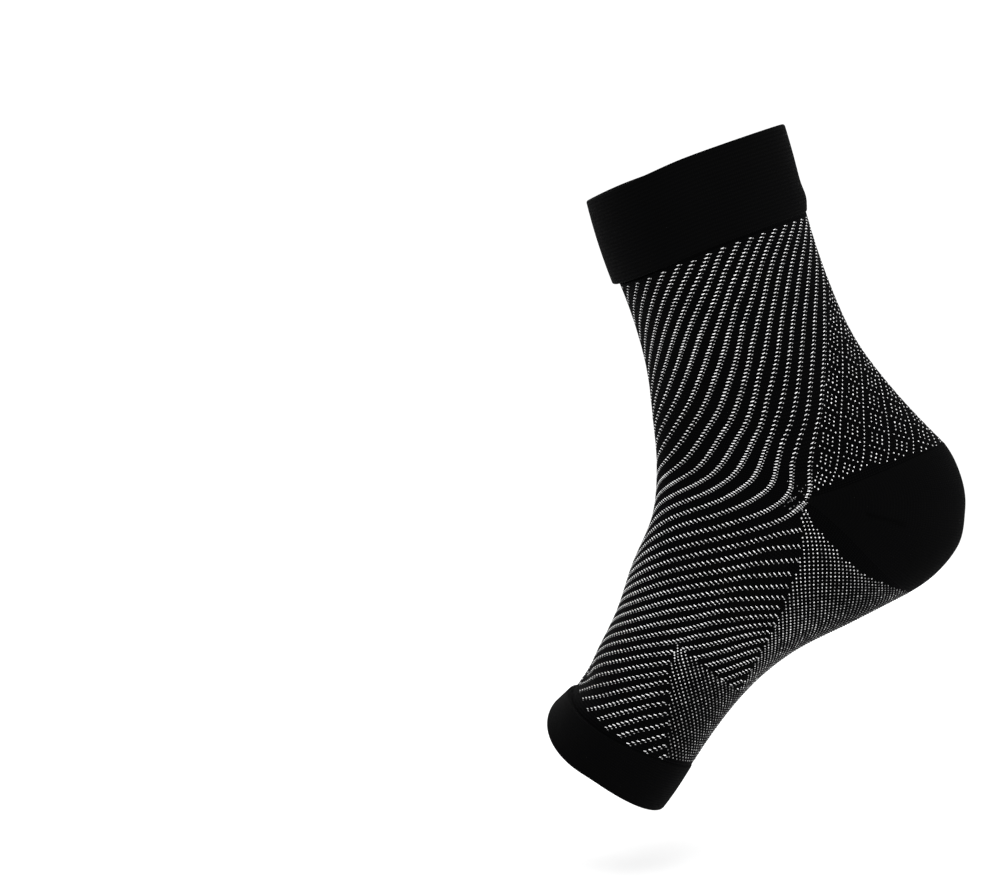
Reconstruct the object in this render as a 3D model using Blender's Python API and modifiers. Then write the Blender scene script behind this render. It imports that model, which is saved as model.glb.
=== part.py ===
# Toeless compression sock, knitted as one tube and shown in the form it takes when worn.
# Metres, +Z up along the leg, -X towards the toes, -Y the inner side of the foot.
# The origin sits in the middle of the ankle hollow.

import bpy
import numpy as np

# Overall sizes that the row tables are shares of
SOCK_LENGTH = 0.172
SOCK_HEIGHT = 0.252
SOCK_WIDTH = 0.092

# Cloth
KNIT_WALL = 0.0015
WELT_WALL = 0.0027
WELT_EDGE_ROUND = 0.0007
PIECE_GAP = 0.0004

# Direction in which the foot points, in the XZ plane
FORWARD_X = -0.62
FORWARD_Z = -0.785

# How softly each knitted row turns at the middle of the side
SIDE_TURN = 0.22

# Knitted rows: leg rows run from 0 under the cuff to 1 at the heel corner, foot rows from 1 to 2
HEEL_ROW = 1.0
BALL_ROW = 1.67
TOE_ROW = 2.0

# Where the striped knit ends round the tube, as a share of the way round from the front line
HEEL_CORNER = 0.25
LEG_STRIPE_TURN = 0.278
LEG_STRIPE_MOST = 0.485
ARCH_STRIPE_TURN = 0.175
BALL_STRIPE_TURN = 0.246

# Columns of the row tables. x columns are shares of SOCK_LENGTH, z columns of SOCK_HEIGHT, and
# half_width, lead, sag, ridge and roll of SOCK_WIDTH. The two full columns say how blunt the front
# and back halves of the row are. lead brings the inner side forward, sag brings the back half
# forward, ridge moves the front line to the inner side and roll drops the outer side.
COLUMNS = ("row", "front_x", "front_z", "side_x", "side_z", "back_x", "back_z",
           "half_width", "front_full", "back_full", "lead", "sag", "ridge", "roll")

CUFF_ROWS = (
    (-0.36, -0.378, 0.387, -0.233, 0.436, 0.057, 0.510, 0.380, 0.05, -0.05, 0, 0, 0, 0),
    (-0.18, -0.351, 0.330, -0.199, 0.376, 0.087, 0.445, 0.375, 0.05, -0.05, 0, 0, 0, 0),
    (0.00, -0.316, 0.267, -0.167, 0.313, 0.110, 0.381, 0.370, 0.05, -0.08, 0, 0, 0, 0),
)

LEG_ROWS = (
    (0.00, -0.298, 0.266, -0.168, 0.312, 0.111, 0.379, 0.353, 0.05, -0.10, 0, 0, 0, 0),
    (0.25, -0.264, 0.203, -0.117, 0.227, 0.164, 0.281, 0.342, 0.05, -0.18, 0, 0, 0, 0),
    (0.50, -0.241, 0.140, -0.071, 0.140, 0.229, 0.193, 0.348, 0.00, -0.25, 0, 0, 0, 0),
    (0.75, -0.231, 0.072, -0.023, 0.045, 0.323, 0.115, 0.359, -0.08, -0.28, 0, 0, 0, 0),
    (1.00, -0.224, -0.001, 0.024, -0.048, 0.444, 0.033, 0.370, -0.15, -0.12, 0, -0.022, 0, 0),
)

FOOT_ROWS = (
    (1.00, -0.224, -0.001, 0.024, -0.048, 0.357, -0.197, 0.370, -0.15, 0.10, 0, 0.043, 0, 0),
    (1.25, -0.241, -0.077, -0.059, -0.127, 0.219, -0.238, 0.370, -0.22, 0.15, 0.033, 0.022, 0.022, 0.011),
    (1.50, -0.294, -0.152, -0.148, -0.202, 0.071, -0.280, 0.391, -0.25, 0.25, 0.065, 0, 0.043, 0.022),
    (1.75, -0.344, -0.235, -0.233, -0.269, -0.043, -0.336, 0.446, -0.25, 0.30, 0.098, 0, 0.065, 0.043),
    (2.00, -0.434, -0.339, -0.321, -0.376, -0.159, -0.433, 0.489, -0.20, 0.30, 0.087, 0, 0.065, 0.065),
)

TOE_BAND_ROWS = (
    (2.00, -0.442, -0.335, -0.324, -0.375, -0.157, -0.433, 0.497, -0.18, 0.30, 0.087, 0, 0.065, 0.065),
    (2.10, -0.463, -0.350, -0.350, -0.391, -0.190, -0.467, 0.500, -0.15, 0.30, 0.119, 0, 0.065, 0.065),
    (2.20, -0.489, -0.366, -0.375, -0.406, -0.217, -0.492, 0.485, -0.15, 0.30, 0.152, 0, 0.065, 0.065),
)

# Heel pocket rows fan out from the heel corner. fan runs from 0 at the leg to 1 at the foot.
HEEL_COLUMNS = ("fan", "back_x", "back_z", "back_full")
HEEL_ROWS = (
    (0.00, 0.444, 0.033, -0.12),
    (0.17, 0.473, 0.001, 0.00),
    (0.33, 0.491, -0.037, 0.10),
    (0.50, 0.493, -0.074, 0.15),
    (0.67, 0.478, -0.122, 0.20),
    (0.84, 0.426, -0.166, 0.15),
    (1.00, 0.357, -0.197, 0.10),
)

# Unit of each column, in the order of COLUMNS
UNITS = np.array((1.0, SOCK_LENGTH, SOCK_HEIGHT, SOCK_LENGTH, SOCK_HEIGHT, SOCK_LENGTH, SOCK_HEIGHT,
                  SOCK_WIDTH, 1.0, 1.0, SOCK_WIDTH, SOCK_WIDTH, SOCK_WIDTH, SOCK_WIDTH))

# Columns that belong to the back half and so change at the heel row
BACK_COLUMNS = (COLUMNS.index("back_x"), COLUMNS.index("back_z"),
                COLUMNS.index("back_full"), COLUMNS.index("sag"))

# Half the gap between neighbouring pieces, along the tube and round it
ROW_GAP = PIECE_GAP / 2 / (SOCK_HEIGHT * 0.38)
ROUND_GAP = PIECE_GAP / 2 / (SOCK_WIDTH * 2.4)

# Mesh density
RING_COLUMNS = 56
SLEEVE_HALF_COLUMNS = 22
BALL_HALF_COLUMNS = 14
LEG_STEPS = 12
FOOT_STEPS = 9
BALL_STEPS = 4


# Smooth rows

def smooth_column(places, values, at):
    # Cubic curve through the table values, with slopes taken from the neighbouring rows
    steps = np.diff(places)
    rises = np.diff(values) / steps
    slopes = np.empty(len(values))
    slopes[1:-1] = (rises[:-1] * steps[1:] + rises[1:] * steps[:-1]) / (steps[1:] + steps[:-1])
    slopes[0] = 2 * rises[0] - slopes[1]
    slopes[-1] = 2 * rises[-1] - slopes[-2]
    cell = np.clip(np.searchsorted(places, at, side="right") - 1, 0, len(places) - 2)
    step = steps[cell]
    part = (at - places[cell]) / step
    return ((1 + 2 * part) * (1 - part) ** 2 * values[cell]
            + part * (1 - part) ** 2 * step * slopes[cell]
            + part ** 2 * (3 - 2 * part) * values[cell + 1]
            + part ** 2 * (part - 1) * step * slopes[cell + 1])


def table_values(table, at):
    sized = np.array(table) * UNITS
    return np.stack([smooth_column(sized[:, 0], sized[:, i], at) for i in range(len(COLUMNS))], axis=1)


def sleeve_values(at, below_heel):
    # Front and side columns run through leg and foot in one curve, back columns belong to one of them
    leg = np.array(LEG_ROWS) * UNITS
    foot = np.array(FOOT_ROWS) * UNITS
    whole = np.concatenate((leg, foot[1:]))
    own = foot if below_heel else leg
    columns = []
    for i in range(len(COLUMNS)):
        rows = own if i in BACK_COLUMNS else whole
        columns.append(smooth_column(rows[:, 0], rows[:, i], at))
    return np.stack(columns, axis=1)


def heel_values(fan):
    base = sleeve_values(np.full(len(fan), HEEL_ROW), False)
    rows = np.array(HEEL_ROWS)
    base[:, BACK_COLUMNS[0]] = smooth_column(rows[:, 0], rows[:, 1] * SOCK_LENGTH, fan)
    base[:, BACK_COLUMNS[1]] = smooth_column(rows[:, 0], rows[:, 2] * SOCK_HEIGHT, fan)
    base[:, BACK_COLUMNS[2]] = smooth_column(rows[:, 0], rows[:, 3], fan)
    leg_sag = LEG_ROWS[-1][BACK_COLUMNS[3]] * SOCK_WIDTH
    foot_sag = FOOT_ROWS[0][BACK_COLUMNS[3]] * SOCK_WIDTH
    base[:, BACK_COLUMNS[3]] = leg_sag * (1 - fan) + foot_sag * fan
    return base


# Places on the tube

def place(values, angle):
    # One point for each row and angle: angle 0 is the front line, a quarter turn the inner side
    front_x, front_z, side_x, side_z, back_x, back_z = (values[..., i] for i in range(1, 7))
    half_width, front_full, back_full, lead, sag, ridge, roll = (values[..., i] for i in range(7, 14))
    along = np.cos(angle)
    across = np.sin(angle)
    turned = (np.sqrt(along ** 2 + SIDE_TURN ** 2) - SIDE_TURN) / (np.sqrt(1 + SIDE_TURN ** 2) - SIDE_TURN)
    full = np.where(along >= 0, front_full, back_full)
    blunt = angle + full * np.sin(2 * angle) / 2
    forward = lead * across + np.where(along < 0, sag, 0) * np.sin(2 * angle) ** 2
    depth = np.hypot(back_x - front_x, back_z - front_z)
    x = side_x + (front_x - back_x) / 2 * along + ((front_x + back_x) / 2 - side_x) * turned
    z = side_z + (front_z - back_z) / 2 * along + ((front_z + back_z) / 2 - side_z) * turned
    x = x + forward * FORWARD_X - roll * across * (back_x - front_x) / depth
    z = z + forward * FORWARD_Z - roll * across * (back_z - front_z) / depth
    y = -half_width * np.sin(blunt) - ridge * np.where(along > 0, along ** 2, 0)
    return np.stack((x, y, z), axis=-1)


def round_points(values, shares):
    # shares run round the tube at even cloth length: 0 front line, 0.25 inner side, 0.5 back line
    angles = np.linspace(0, np.pi, 181)
    ring = place(values[:, None, :], angles[None, :])
    steps = np.linalg.norm(np.diff(ring, axis=1), axis=2)
    length = np.concatenate((np.zeros((len(values), 1)), np.cumsum(steps, axis=1)), axis=1)
    side = length[:, 90:91]
    whole = length[:, -1:]
    share = np.where(angles <= np.pi / 2 + 1e-9, length / side * 0.25,
                     0.25 + (length - side) / (whole - side) * 0.25)
    found = np.empty(shares.shape)
    for row in range(len(values)):
        wrapped = (shares[row] + 0.5) % 1.0 - 0.5
        found[row] = np.interp(np.abs(wrapped), share[row], angles) * np.where(wrapped < 0, -1, 1)
    return place(values[:, None, :], found)


# Limits of the knitted zones

def leg_stripe_end(row):
    return np.minimum(HEEL_CORNER + LEG_STRIPE_TURN * (HEEL_ROW - row), LEG_STRIPE_MOST)


def arch_stripe_end(row):
    return HEEL_CORNER + ARCH_STRIPE_TURN * (row - HEEL_ROW)


def ball_stripe_end(row):
    start = arch_stripe_end(BALL_ROW) * BALL_HALF_COLUMNS / SLEEVE_HALF_COLUMNS
    return start + BALL_STRIPE_TURN * (row - BALL_ROW)


# Making pieces

def clear_scene():
    for thing in list(bpy.data.objects):
        bpy.data.objects.remove(thing, do_unlink=True)


def knit_material(name, colour, roughness):
    material = bpy.data.materials.new(name)
    material.use_nodes = True
    shader = material.node_tree.nodes["Principled BSDF"]
    shader.inputs["Base Color"].default_value = (*colour, 1.0)
    shader.inputs["Roughness"].default_value = roughness
    shader.inputs["Metallic"].default_value = 0.0
    material.diffuse_color = (*colour, 1.0)
    return material


def grid_faces(rows, columns, closed):
    faces = []
    for i in range(rows - 1):
        for j in range(columns if closed else columns - 1):
            k = (j + 1) % columns
            faces.append((i * columns + j, (i + 1) * columns + j, (i + 1) * columns + k, i * columns + k))
    return faces


def cloth_piece(name, points, faces, wall, material, collection):
    # Open outer surface of the cloth, thickened inwards
    mesh = bpy.data.meshes.new(name)
    mesh.from_pydata(points.reshape(-1, 3).tolist(), [], faces)
    mesh.validate()
    for polygon in mesh.polygons:
        polygon.use_smooth = True
    mesh.materials.append(material)
    piece = bpy.data.objects.new(name, mesh)
    collection.objects.link(piece)
    thick = piece.modifiers.new("Cloth thickness", "SOLIDIFY")
    thick.thickness = wall
    thick.offset = -1.0
    thick.use_even_offset = False
    return piece


def welt_ring(name, table, first_row, last_row, steps, material, collection):
    rows = np.linspace(first_row, last_row, steps)
    shares = np.tile(np.arange(RING_COLUMNS) / RING_COLUMNS, (steps, 1))
    points = round_points(table_values(table, rows), shares)
    ring = cloth_piece(name, points, grid_faces(steps, RING_COLUMNS, True), WELT_WALL, material, collection)
    edge = ring.modifiers.new("Rounded fold", "BEVEL")
    edge.width = WELT_EDGE_ROUND
    edge.segments = 2
    edge.limit_method = "ANGLE"
    edge.angle_limit = 1.0
    return ring


def striped_sleeve(material, collection):
    # One strip of cloth, narrowest at the heel corners, then stepping in where the ball panel starts
    leg_rows = np.linspace(ROW_GAP, HEEL_ROW, LEG_STEPS + 1)
    foot_rows = np.linspace(HEEL_ROW, BALL_ROW - ROW_GAP, FOOT_STEPS + 1)[1:]
    ball_rows = np.linspace(BALL_ROW + ROW_GAP, TOE_ROW - ROW_GAP, BALL_STEPS + 1)
    wide = np.arange(-SLEEVE_HALF_COLUMNS, SLEEVE_HALF_COLUMNS + 1) / SLEEVE_HALF_COLUMNS
    narrow = np.arange(-BALL_HALF_COLUMNS, BALL_HALF_COLUMNS + 1) / BALL_HALF_COLUMNS
    leg_shares = wide[None, :] * (leg_stripe_end(leg_rows) - ROUND_GAP)[:, None]
    foot_shares = wide[None, :] * (arch_stripe_end(foot_rows) - ROUND_GAP)[:, None]
    ball_shares = narrow[None, :] * (ball_stripe_end(ball_rows) - ROUND_GAP)[:, None]
    upper = np.concatenate((round_points(sleeve_values(leg_rows, False), leg_shares),
                            round_points(sleeve_values(foot_rows, True), foot_shares)))
    lower = round_points(sleeve_values(ball_rows, True), ball_shares)
    points = np.concatenate((upper.reshape(-1, 3), lower.reshape(-1, 3)))
    columns = len(wide)
    faces = grid_faces(len(upper), columns, False)
    # The lower rows hang from the middle columns of the last upper row
    joint = (len(upper) - 1) * columns + SLEEVE_HALF_COLUMNS - BALL_HALF_COLUMNS
    start = len(upper) * columns
    above = [joint + j for j in range(len(narrow))]
    for i in range(len(lower)):
        below = [start + i * len(narrow) + j for j in range(len(narrow))]
        for j in range(len(narrow) - 1):
            faces.append((above[j], below[j], below[j + 1], above[j + 1]))
        above = below
    return cloth_piece("striped_sleeve", points, faces, KNIT_WALL, material, collection)


def back_panel(name, rows, ends, below_heel, columns, material, collection):
    # Panel across the back line, from the end of the stripes on one side to the end on the other
    across = np.linspace(0, 1, columns)
    edge = (ends + ROUND_GAP)[:, None]
    shares = edge + (1 - 2 * edge) * across[None, :]
    points = round_points(sleeve_values(rows, below_heel), shares)
    return cloth_piece(name, points, grid_faces(len(rows), columns, False), KNIT_WALL, material, collection)


def heel_pocket(material, collection):
    # Rows fan out between the leg and the foot, kept one gap clear of both and of the heel corners
    columns = 29
    steps = 11
    corner = HEEL_CORNER + ROUND_GAP * 10
    shares = np.linspace(corner, 1 - corner, columns)
    outer_rows = round_points(heel_values(np.array((0.0, 1.0))), np.tile(shares, (2, 1)))
    reach = np.linalg.norm(outer_rows[1] - outer_rows[0], axis=1)
    clear = np.minimum(PIECE_GAP * 0.8 / reach, 0.2)
    points = np.empty((steps, columns, 3))
    for j in range(columns):
        fan = np.linspace(clear[j], 1 - clear[j], steps)
        points[:, j] = round_points(heel_values(fan), np.full((steps, 1), shares[j]))[:, 0]
    return cloth_piece("heel_pocket", points, grid_faces(steps, columns, False), KNIT_WALL, material, collection)


# Build

clear_scene()
sock = bpy.data.collections.new("toeless_compression_sock")
bpy.context.scene.collection.children.link(sock)

welt_ring("leg_cuff", CUFF_ROWS, CUFF_ROWS[0][0], -ROW_GAP, 6,
          knit_material("leg_cuff_knit", (0.012, 0.012, 0.013), 0.85), sock)
striped_sleeve(knit_material("striped_knit", (0.016, 0.016, 0.017), 0.9), sock)

achilles_rows = np.linspace(ROW_GAP, HEEL_ROW - ROW_GAP, LEG_STEPS + 1)
back_panel("achilles_panel", achilles_rows, leg_stripe_end(achilles_rows), False, 17,
           knit_material("achilles_mesh_knit", (0.03, 0.03, 0.031), 0.9), sock)

heel_pocket(knit_material("heel_knit", (0.012, 0.012, 0.013), 0.88), sock)

arch_rows = np.linspace(HEEL_ROW + ROW_GAP, BALL_ROW - ROW_GAP, FOOT_STEPS + 1)
back_panel("arch_panel", arch_rows, arch_stripe_end(arch_rows), True, 19,
           knit_material("arch_mesh_knit", (0.03, 0.03, 0.031), 0.9), sock)

ball_rows = np.linspace(BALL_ROW + ROW_GAP * 3, TOE_ROW - ROW_GAP, BALL_STEPS + 1)
back_panel("ball_panel", ball_rows, ball_stripe_end(ball_rows) + ROUND_GAP * 3, True, 25,
           knit_material("ball_mesh_knit", (0.03, 0.03, 0.031), 0.9), sock)

welt_ring("toe_band", TOE_BAND_ROWS, TOE_ROW + ROW_GAP * 4, TOE_BAND_ROWS[-1][0], 4,
          knit_material("toe_band_knit", (0.012, 0.012, 0.013), 0.85), sock)
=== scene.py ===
import math

import bpy
import numpy as np
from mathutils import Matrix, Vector


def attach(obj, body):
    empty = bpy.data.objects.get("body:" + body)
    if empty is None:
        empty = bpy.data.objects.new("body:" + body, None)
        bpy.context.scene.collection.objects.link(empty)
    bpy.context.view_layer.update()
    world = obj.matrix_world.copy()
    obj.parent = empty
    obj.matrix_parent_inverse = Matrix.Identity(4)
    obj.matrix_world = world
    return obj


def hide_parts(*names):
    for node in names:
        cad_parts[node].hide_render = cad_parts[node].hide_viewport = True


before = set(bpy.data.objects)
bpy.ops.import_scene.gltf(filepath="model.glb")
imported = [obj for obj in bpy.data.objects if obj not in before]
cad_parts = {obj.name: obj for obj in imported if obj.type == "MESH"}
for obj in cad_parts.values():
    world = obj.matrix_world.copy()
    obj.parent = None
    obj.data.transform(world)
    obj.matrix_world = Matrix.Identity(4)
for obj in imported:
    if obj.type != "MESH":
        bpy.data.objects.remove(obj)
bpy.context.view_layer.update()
print("frame:", len(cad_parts), "nodes")


# The worn form of the knitted tube.
# row 0 is the first course under the cuff, 1 the heel corner, 2 the last course before the toe band.
# x columns are shares of length, z columns of height, halfWidth, lead, sag, ridge and roll of width.

tube = {
    "length": 0.172,
    "height": 0.252,
    "width": 0.092,
    "forward": (-0.62, -0.785),   # x and z of the way the foot points
    "sideTurn": 0.22,             # how softly a course turns at the middle of the side
    "wall": 0.0012,
    "roundSteps": 480,            # steps round the tube on a cloth map
    "halfSteps": 360,             # steps along half a course when its length is measured
}

columnNames = ["row", "frontX", "frontZ", "sideX", "sideZ", "backX", "backZ",
               "halfWidth", "frontFull", "backFull", "lead", "sag", "ridge", "roll"]
backNames = ["backX", "backZ", "backFull", "sag"]   # these change at the heel

cuffRows = [
    (-0.36, -0.377, 0.393, -0.233, 0.438, 0.057, 0.512, 0.380, 0.05, -0.05, 0, 0, 0, 0),
    (-0.18, -0.351, 0.330, -0.199, 0.376, 0.087, 0.445, 0.375, 0.05, -0.05, 0, 0, 0, 0),
    (0.00, -0.316, 0.267, -0.167, 0.313, 0.110, 0.381, 0.370, 0.05, -0.08, 0, 0, 0, 0),
]
legRows = [
    (0.00, -0.298, 0.266, -0.168, 0.312, 0.111, 0.379, 0.353, 0.05, -0.10, 0, 0, 0, 0),
    (0.25, -0.264, 0.203, -0.117, 0.227, 0.164, 0.281, 0.342, 0.05, -0.18, 0, 0, 0, 0),
    (0.50, -0.241, 0.140, -0.071, 0.140, 0.229, 0.193, 0.348, 0.00, -0.25, 0, 0, 0, 0),
    (0.75, -0.231, 0.072, -0.023, 0.045, 0.323, 0.115, 0.359, -0.08, -0.28, 0, 0, 0, 0),
    (1.00, -0.224, -0.001, 0.024, -0.048, 0.444, 0.033, 0.370, -0.15, -0.12, 0, -0.022, 0, 0),
]
footRows = [
    (1.00, -0.224, -0.001, 0.024, -0.048, 0.357, -0.197, 0.370, -0.15, 0.10, 0, 0.043, 0, 0),
    (1.25, -0.241, -0.077, -0.059, -0.127, 0.219, -0.238, 0.370, -0.22, 0.15, 0.033, 0.022, 0.022, 0.011),
    (1.50, -0.294, -0.152, -0.148, -0.202, 0.071, -0.280, 0.391, -0.25, 0.25, 0.065, 0, 0.043, 0.022),
    (1.75, -0.344, -0.235, -0.233, -0.269, -0.043, -0.336, 0.446, -0.25, 0.30, 0.098, 0, 0.065, 0.043),
    (2.00, -0.434, -0.339, -0.321, -0.376, -0.159, -0.433, 0.489, -0.20, 0.30, 0.087, 0, 0.065, 0.065),
]
bandRows = [
    (2.00, -0.442, -0.335, -0.324, -0.375, -0.157, -0.433, 0.497, -0.18, 0.30, 0.087, 0, 0.065, 0.065),
    (2.10, -0.463, -0.350, -0.350, -0.391, -0.190, -0.467, 0.500, -0.15, 0.30, 0.119, 0, 0.065, 0.065),
    (2.20, -0.489, -0.366, -0.375, -0.406, -0.217, -0.492, 0.485, -0.15, 0.30, 0.152, 0, 0.065, 0.065),
]
# heel pocket courses: fan, backX, backZ, backFull
heelRows = [
    (0.00, 0.444, 0.033, -0.12),
    (0.17, 0.473, 0.001, 0.00),
    (0.33, 0.491, -0.037, 0.10),
    (0.50, 0.493, -0.074, 0.15),
    (0.67, 0.478, -0.122, 0.20),
    (0.84, 0.426, -0.166, 0.15),
    (1.00, 0.357, -0.197, 0.10),
]

# The knit chart, taken from the stripes.
knit = {
    "legCourses": 76,         # courses from row 0 to row 1
    "footCourses": 92,        # courses per row just below the heel
    "footTighter": 12,        # more courses per row towards the toes
    "courseTilt": 0.25,       # how far leg courses climb towards the back line
    "tiltShare": 0.1,         # and the share that they turn about
    "bendCourses": 31,        # more courses per row where the ankle bends
    "bendRow": 1.04,
    "bendReach": 0.09,
    "wales": 285,             # wales round the tube
    "frontLineLeg": -0.060,   # share where the stripes of both sides meet, under the cuff
    "frontLineFoot": -0.030,  # and from the heel row on
    "heelCorner": 0.25,
    "legStripeTurn": 0.278,
    "legStripeMost": 0.485,
    "archStripeTurn": 0.175,
    "ballRow": 1.67,
    "ballKeep": 14 / 22,      # share of the sleeve's width that goes on beside the ball mesh
    "ballApexRow": 1.650,
    "ballApexShare": 0.238,
    "ballEdgeLean": 0.55,     # rows per share along the upper edge of the ball mesh
    # how far the arch stripes reach past the seam at these rows
    "archEdgeRows": [1.00, 1.06, 1.12, 1.20, 1.35, 1.50, 1.70],
    "archEdgeOut": [0.011, -0.003, 0.006, 0.013, 0.013, 0.009, 0.000],
    "frontDroop": 0.07,       # rows that the courses sink at the front of the ankle
    "droopRows": [0.4, 0.85, 1.25],   # where the sinking starts, is deepest and ends
    "droopReach": 0.10,       # and how far round the tube they do
    "archWales": 250,         # wales of the open mesh under the foot
    "ballStripeTurn": 0.246,
    "lastStitchRow": 1.963,   # the stripes stop here over the toes
    "lastStitchLean": 0.115,  # and a little later towards the sole
    "lastDotRow": 1.99,
}

# Number of the stripe that crosses each share of the way round, counted on a few courses
stripeShares = [0.00, 0.08, 0.16, 0.25, 0.34, 0.45]
stripeChart = [
    (0.00, -1.1, 0.6, 2.6, 5.3, 9.0, 13.6),
    (0.10, 0.0, 1.8, 4.0, 6.9, 10.9, 15.3),
    (0.30, 1.9, 4.0, 6.5, 9.7, 13.6, 17.9),
    (0.50, 3.7, 5.9, 8.5, 11.8, 15.7, 19.9),
    (0.70, 5.4, 7.8, 10.5, 14.0, 17.9, 22.4),
    (0.90, 7.6, 10.0, 12.9, 16.4, 20.2, 24.7),
    (1.00, 8.8, 11.1, 13.9, 16.8, 20.2, 24.0),
    (1.10, 10.2, 12.5, 14.9, 17.5, 20.5, 24.0),
    (1.20, 11.8, 14.1, 16.2, 18.9, 22.1, 25.8),
    (1.30, 13.3, 15.7, 17.9, 20.6, 23.8, 27.6),
    (1.50, 16.4, 19.1, 21.7, 24.6, 28.4, 33.0),
    (1.70, 21.3, 23.2, 25.4, 28.1, 31.6, 35.5),
    (1.85, 25.1, 27.0, 28.9, 31.6, 35.0, 38.8),
    (2.00, 29.6, 30.9, 32.4, 35.3, 38.7, 42.5),
]


def smoothColumn(places, values, at):
    # Cubic Hermite curve through the values; each slope is the step-weighted mean of its neighbours
    places, values = np.asarray(places, float), np.asarray(values, float)
    column = (slice(None),) + (None,) * (values.ndim - 1)
    steps = np.diff(places)[column]
    rises = np.diff(values, axis=0) / steps
    slopes = np.empty(values.shape)
    slopes[1:-1] = (rises[:-1] * steps[1:] + rises[1:] * steps[:-1]) / (steps[1:] + steps[:-1])
    slopes[0] = 2 * rises[0] - slopes[1]
    slopes[-1] = 2 * rises[-1] - slopes[-2]
    cell = np.clip(np.searchsorted(places, at, side="right") - 1, 0, len(places) - 2)
    step = steps[cell]
    part = (at - places[cell])[column] / step
    return ((1 + 2 * part) * (1 - part) ** 2 * values[cell]
            + part * (1 - part) ** 2 * step * slopes[cell]
            + part ** 2 * (3 - 2 * part) * values[cell + 1]
            + part ** 2 * (part - 1) * step * slopes[cell + 1])


def sized(rows):
    # Table shares times the size each column follows, as a dictionary of columns
    table = np.array(rows, float)
    size = {"X": tube["length"], "Z": tube["height"]}
    wide = ("halfWidth", "lead", "sag", "ridge", "roll")
    return {name: table[:, i] * (tube["width"] if name in wide else size.get(name[-1], 1.0))
            for i, name in enumerate(columnNames)}


def courseForm(rows, at):
    # every column of one table as a smooth curve of the row; both halves lean on the back point
    table = sized(rows)
    form = {name: smoothColumn(table["row"], table[name], at) for name in columnNames[1:]}
    form["farX"], form["farZ"] = form["backX"], form["backZ"]
    return form


def sleeveForm(at, belowHeel):
    # Front, side and width columns run through leg and foot in one curve, back columns belong to one.
    # far is the back point that the front half leans on, halfway between both at the heel row.
    leg, foot = sized(legRows), sized(footRows)
    rows = np.append(leg["row"], foot["row"][1:])
    form = {}
    for name in columnNames[1:]:
        if name in backNames:
            own = foot if belowHeel else leg
            form[name] = smoothColumn(own["row"], own[name], at)
        else:
            form[name] = smoothColumn(rows, np.append(leg[name], foot[name][1:]), at)
    for name in ("X", "Z"):
        back = np.append(leg["back" + name], foot["back" + name][1:])
        back[len(leg["row"]) - 1] = (leg["back" + name][-1] + foot["back" + name][0]) / 2
        form["far" + name] = smoothColumn(rows, back, at)
    return form


def heelForm(fan):
    # front and side of the heel row; back columns from the fan table, and sag = leg (1 - fan) + foot fan
    form = sleeveForm(np.ones(len(fan)), False)
    table = np.array(heelRows)
    form["backX"] = smoothColumn(table[:, 0], table[:, 1] * tube["length"], fan)
    form["backZ"] = smoothColumn(table[:, 0], table[:, 2] * tube["height"], fan)
    form["backFull"] = smoothColumn(table[:, 0], table[:, 3], fan)
    form["sag"] = sized(legRows)["sag"][-1] * (1 - fan) + sized(footRows)["sag"][0] * fan
    return form


def coursePoint(form, angle):
    # Half an ellipse to the front and half to the back of the side, turned softly where they meet:
    # x and z = side - (back - front)/2 cos a + ((front + back)/2 - side) t, where t is |cos a| rounded off,
    # + (lead sin a + sag sin^2(2a)) forward - roll sin a (back - front)/length,
    # y = -halfWidth sin(a + full sin(2a)/2) - ridge cos^2 a on the front half
    f = {name: column[:, None] for name, column in form.items()}
    along, across = np.cos(angle), np.sin(angle)
    soft = tube["sideTurn"]
    turned = (np.sqrt(along ** 2 + soft ** 2) - soft) / (math.sqrt(1 + soft ** 2) - soft)
    full = np.where(along >= 0, f["frontFull"], f["backFull"])
    blunt = angle + full * np.sin(2 * angle) / 2
    forward = f["lead"] * across + np.where(along < 0, f["sag"], 0) * np.sin(2 * angle) ** 2
    restX = np.where(along >= 0, f["farX"], f["backX"])
    restZ = np.where(along >= 0, f["farZ"], f["backZ"])
    deepX, deepZ = restX - f["frontX"], restZ - f["frontZ"]
    deep = np.hypot(deepX, deepZ)
    x = f["sideX"] - deepX / 2 * along + ((f["frontX"] + restX) / 2 - f["sideX"]) * turned
    z = f["sideZ"] - deepZ / 2 * along + ((f["frontZ"] + restZ) / 2 - f["sideZ"]) * turned
    x = x + forward * tube["forward"][0] - f["roll"] * across * deepX / deep
    z = z + forward * tube["forward"][1] - f["roll"] * across * deepZ / deep
    y = -f["halfWidth"] * np.sin(blunt) - f["ridge"] * np.where(along > 0, along ** 2, 0)
    return np.stack((x, y, z), axis=-1)


def clothMap(rows, form):
    # Points at even cloth length round each course: share -0.5 .. 0.5, 0 front line, 0.25 inner side
    halfSteps = tube["halfSteps"]
    angles = np.linspace(0, np.pi, halfSteps + 1)
    ring = coursePoint(form, angles[None, :])
    lengths = np.cumsum(np.linalg.norm(np.diff(ring, axis=1), axis=2), axis=1)
    lengths = np.concatenate((np.zeros((len(rows), 1)), lengths), axis=1)
    side, whole = lengths[:, [halfSteps // 2]], lengths[:, [-1]]
    share = np.where(angles <= np.pi / 2 + 1e-9, lengths / side * 0.25,
                     0.25 + (lengths - side) / (whole - side) * 0.25)
    shares = np.linspace(-0.5, 0.5, tube["roundSteps"] + 1)
    found = np.stack([np.interp(np.abs(shares), s, angles) for s in share]) * np.sign(shares)
    points = coursePoint(form, found)
    # course direction is periodic round the tube, wale direction is one-sided at the ends
    ringPoints = np.concatenate((points[:, -2:-1], points, points[:, 1:2]), axis=1)
    course = unit(ringPoints[:, 2:] - ringPoints[:, :-2])
    wale = np.gradient(points, axis=0)
    normal = unit(np.cross(wale, course))
    return {"rows": rows, "points": points, "course": course,
            "wale": unit(np.cross(course, normal)), "normal": normal}


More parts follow.
